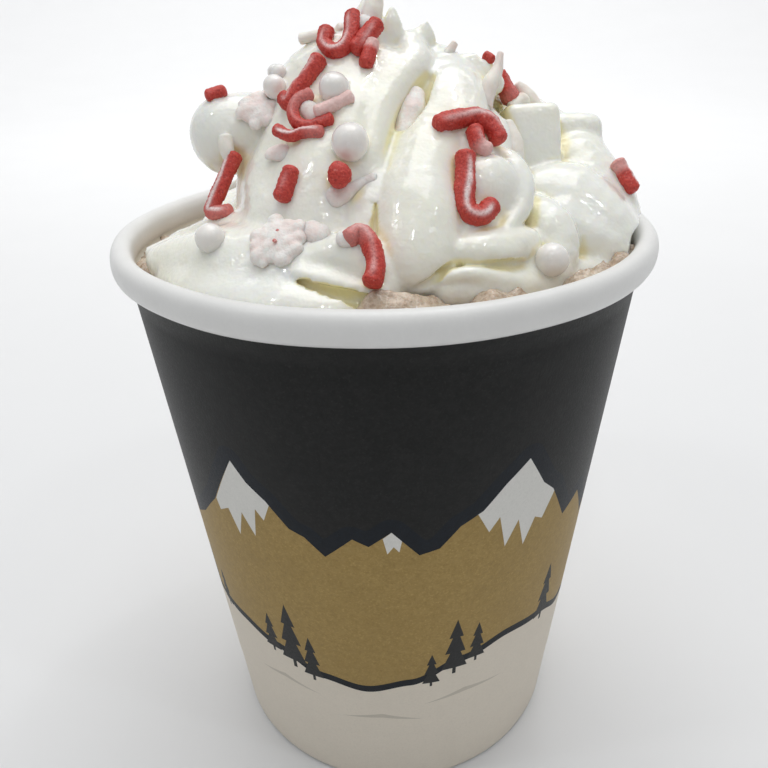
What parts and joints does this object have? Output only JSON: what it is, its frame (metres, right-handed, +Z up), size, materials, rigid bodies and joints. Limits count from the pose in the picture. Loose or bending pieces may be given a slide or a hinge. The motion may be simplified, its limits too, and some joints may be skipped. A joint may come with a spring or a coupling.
{
  "type": "hot chocolate",
  "caption": "Hot chocolate in a tapered paper takeaway cup with a rolled rim, heaped with soft whipped cream above the rim.",
  "frame": {"origin": "middle of the cup's standing edge, at the bottom centre of the bounding box", "axes": "+Z up along the cup's axis, -Y towards the printed front of the cup, +X to the right as the front is seen"},
  "size_m": [0.08, 0.08, 0.1207],
  "materials": {
    "cup_wall": "matt printed paper board, charcoal with fields of tan and off-white, white rolled rim",
    "cup_base": "plain uncoated paper board",
    "drink": "milky brown drink with a skin of fine foam",
    "cream": "soft moist whipped cream with small wet highlights",
    "cane": "grainy pressed sugar, red with paler streaks",
    "pearl": "pearly sugar ball",
    "flake": "grainy pressed sugar flakes, white and pale pink"
  },
  "bodies": {
    "root": {"cup_wall": "cup_wall", "cup_base": "cup_base", "hot_chocolate": "drink", "whipped_cream": "cream"}
  },
  "joints": []
}
